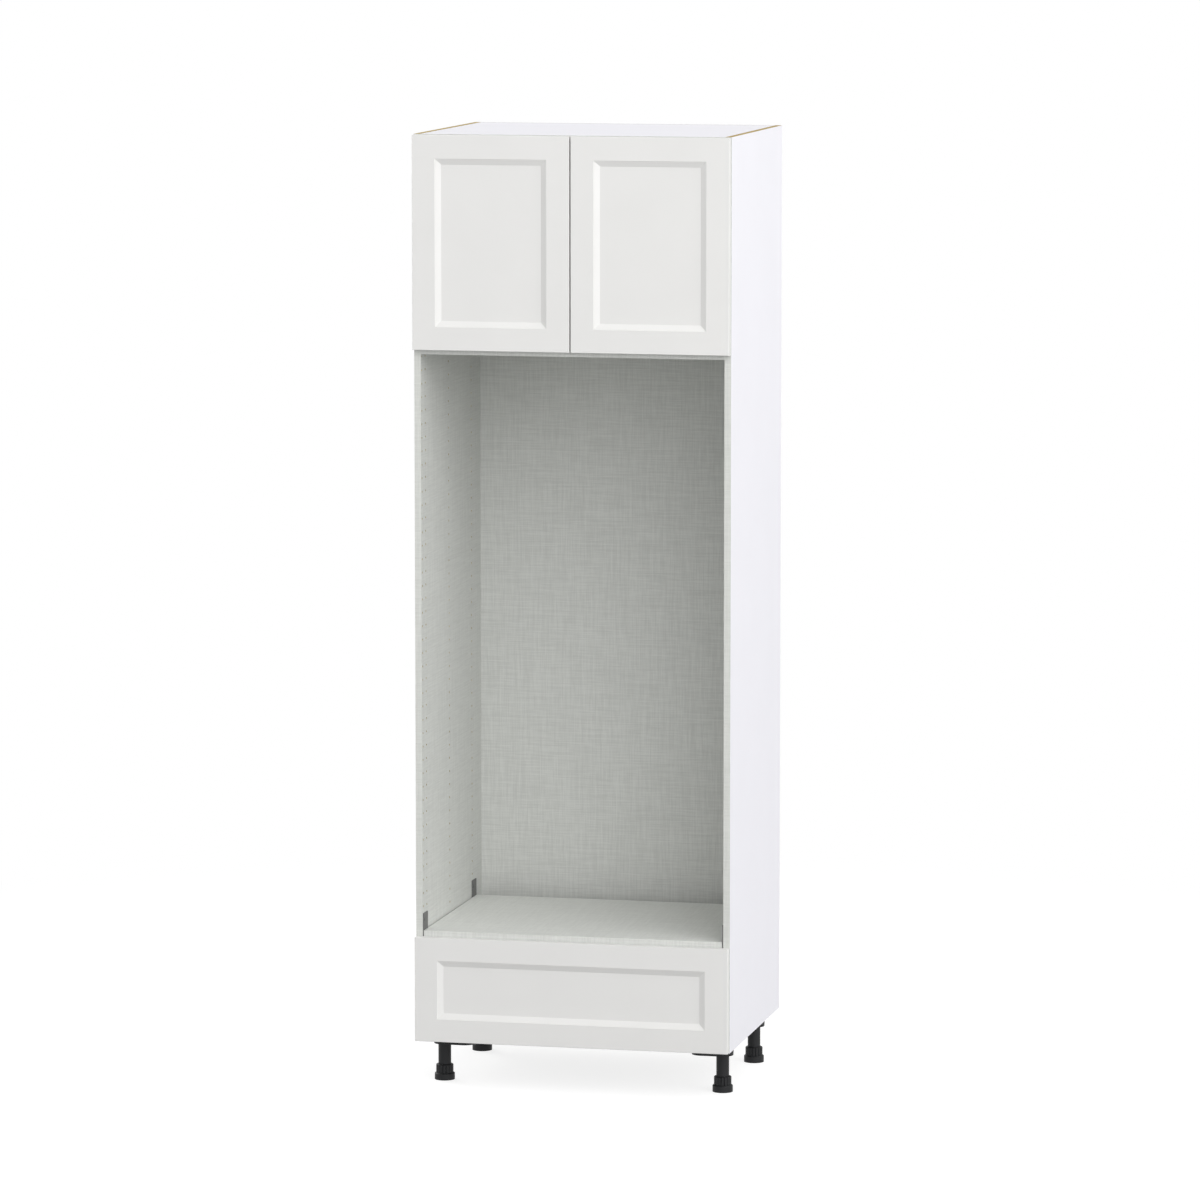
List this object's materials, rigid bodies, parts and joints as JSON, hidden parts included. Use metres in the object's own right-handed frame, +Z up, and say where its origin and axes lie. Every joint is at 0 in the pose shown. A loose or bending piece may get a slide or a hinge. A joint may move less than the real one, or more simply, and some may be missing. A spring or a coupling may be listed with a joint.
{
  "type": "microwave cabinet",
  "caption": "Tall frameless kitchen unit with a pair of framed doors over an open oven space and a deep drawer, on levelling legs.",
  "frame": {"origin": "on the floor, under the middle of the cabinet's whole width and depth", "axes": "+Z up, +X to the right seen from the front, +Y to the back; the doors face -Y"},
  "size_m": [0.762, 0.623, 2.2733],
  "materials": {
    "linen_laminate": "grey linen laminate on particle board",
    "raw_board": "raw particle board",
    "white_lacquer": "white satin lacquer on fibre board",
    "drawer_laminate": "pale laminate on board",
    "grey_bracket": "grey powder coat",
    "nickel_steel": "nickel plate",
    "zinc_steel": "zinc plate",
    "soft_pad": "soft translucent pad",
    "black_plastic": "moulded black plastic"
  },
  "bodies": {
    "carcass": {"left_side_panel": "linen_laminate", "right_side_panel": "linen_laminate", "top_panel": "linen_laminate", "bottom_panel": "linen_laminate", "fixed_shelf": "linen_laminate", "back_panel": "linen_laminate", "back_nailers": "raw_board", "oven_deck": "linen_laminate", "deck_brackets": "grey_bracket", "bracket_screws": "nickel_steel", "adjustable_shelf": "linen_laminate", "shelf_pins": "nickel_steel", "hinge_plates": "nickel_steel", "hinge_plate_screws": "nickel_steel", "hinge_arms": "nickel_steel", "hinge_arm_pins": "nickel_steel", "left_runner_cabinet_member": "zinc_steel", "right_runner_cabinet_member": "zinc_steel", "leg_sockets": "black_plastic", "leg_tubes": "black_plastic"},
    "drawer": {"drawer_front_left_stile": "white_lacquer", "drawer_front_right_stile": "white_lacquer", "drawer_front_top_rail": "white_lacquer", "drawer_front_bottom_rail": "white_lacquer", "drawer_front_panel": "white_lacquer", "drawer_left_side": "drawer_laminate", "drawer_right_side": "drawer_laminate", "drawer_box_front": "drawer_laminate", "drawer_box_back": "drawer_laminate", "drawer_bottom": "drawer_laminate", "left_runner_drawer_member": "zinc_steel", "right_runner_drawer_member": "zinc_steel", "drawer_front_screws": "nickel_steel", "drawer_bumpers": "soft_pad"},
    "left_door": {"left_door_left_stile": "white_lacquer", "left_door_right_stile": "white_lacquer", "left_door_top_rail": "white_lacquer", "left_door_bottom_rail": "white_lacquer", "left_door_panel": "white_lacquer", "left_hinge_cups": "nickel_steel", "left_cup_pins": "nickel_steel", "left_door_bumpers": "soft_pad"},
    "left_inner_link": {"left_inner_links": "nickel_steel"},
    "left_outer_link": {"left_outer_links": "nickel_steel"},
    "left_runner_middle": {"left_runner_middle_member": "zinc_steel"},
    "right_door": {"right_door_left_stile": "white_lacquer", "right_door_right_stile": "white_lacquer", "right_door_top_rail": "white_lacquer", "right_door_bottom_rail": "white_lacquer", "right_door_panel": "white_lacquer", "right_hinge_cups": "nickel_steel", "right_cup_pins": "nickel_steel", "right_door_bumpers": "soft_pad"},
    "right_inner_link": {"right_inner_links": "nickel_steel"},
    "right_outer_link": {"right_outer_links": "nickel_steel"},
    "right_runner_middle": {"right_runner_middle_member": "zinc_steel"},
    "front_left_foot": {"front_left_foot": "black_plastic"},
    "front_right_foot": {"front_right_foot": "black_plastic"},
    "rear_left_foot": {"rear_left_foot": "black_plastic"},
    "rear_right_foot": {"rear_right_foot": "black_plastic"}
  },
  "joints": [
    {"name": "left_door_arm_pivot", "type": "hinge", "parent": "carcass", "child": "left_inner_link", "pos_m": [-0.359, -0.28647, 0], "axis": [0, 0, -1], "range_deg": [-47.5, 0]},
    {"name": "left_door_cup_pivot", "type": "hinge", "parent": "left_inner_link", "child": "left_door", "pos_m": [-0.371, -0.29747, 0], "axis": [0, 0, -1], "range_deg": [0, 142.5]},
    {"name": "left_outer_link_pivot", "type": "hinge", "parent": "left_door", "child": "left_outer_link", "pos_m": [-0.366, -0.29497, 0], "axis": [0, 0, -1], "range_deg": [-137.32, 0]},
    {"name": "right_door_arm_pivot", "type": "hinge", "parent": "carcass", "child": "right_inner_link", "pos_m": [0.359, -0.28647, 0], "axis": [0, 0, 1], "range_deg": [-47.5, 0]},
    {"name": "right_door_cup_pivot", "type": "hinge", "parent": "right_inner_link", "child": "right_door", "pos_m": [0.371, -0.29747, 0], "axis": [0, 0, 1], "range_deg": [0, 142.5]},
    {"name": "right_outer_link_pivot", "type": "hinge", "parent": "right_door", "child": "right_outer_link", "pos_m": [0.366, -0.29497, 0], "axis": [0, 0, 1], "range_deg": [-137.32, 0]},
    {"name": "drawer_slide", "type": "slide", "parent": "carcass", "child": "drawer", "axis": [0, -1, 0], "range_m": [0, 0.52]},
    {"name": "left_runner_slide", "type": "slide", "parent": "carcass", "child": "left_runner_middle", "axis": [0, -1, 0], "range_m": [0, 0.26]},
    {"name": "right_runner_slide", "type": "slide", "parent": "carcass", "child": "right_runner_middle", "axis": [0, -1, 0], "range_m": [0, 0.26]},
    {"name": "front_left_foot_screw", "type": "slide", "parent": "carcass", "child": "front_left_foot", "axis": [0, 0, -1], "range_m": [0, 0.025]},
    {"name": "front_right_foot_screw", "type": "slide", "parent": "carcass", "child": "front_right_foot", "axis": [0, 0, -1], "range_m": [0, 0.025]},
    {"name": "rear_left_foot_screw", "type": "slide", "parent": "carcass", "child": "rear_left_foot", "axis": [0, 0, -1], "range_m": [0, 0.025]},
    {"name": "rear_right_foot_screw", "type": "slide", "parent": "carcass", "child": "rear_right_foot", "axis": [0, 0, -1], "range_m": [0, 0.025]}
  ],
  "couplings": [
    {"joint": "left_door_arm_pivot", "follows": "left_door_cup_pivot", "ratio": -0.33333},
    {"joint": "left_outer_link_pivot", "follows": "left_door_cup_pivot", "ratio": -0.96327},
    {"joint": "right_door_arm_pivot", "follows": "right_door_cup_pivot", "ratio": -0.33333},
    {"joint": "right_outer_link_pivot", "follows": "right_door_cup_pivot", "ratio": -0.96327},
    {"joint": "left_runner_slide", "follows": "drawer_slide", "ratio": 0.5},
    {"joint": "right_runner_slide", "follows": "drawer_slide", "ratio": 0.5}
  ]
}
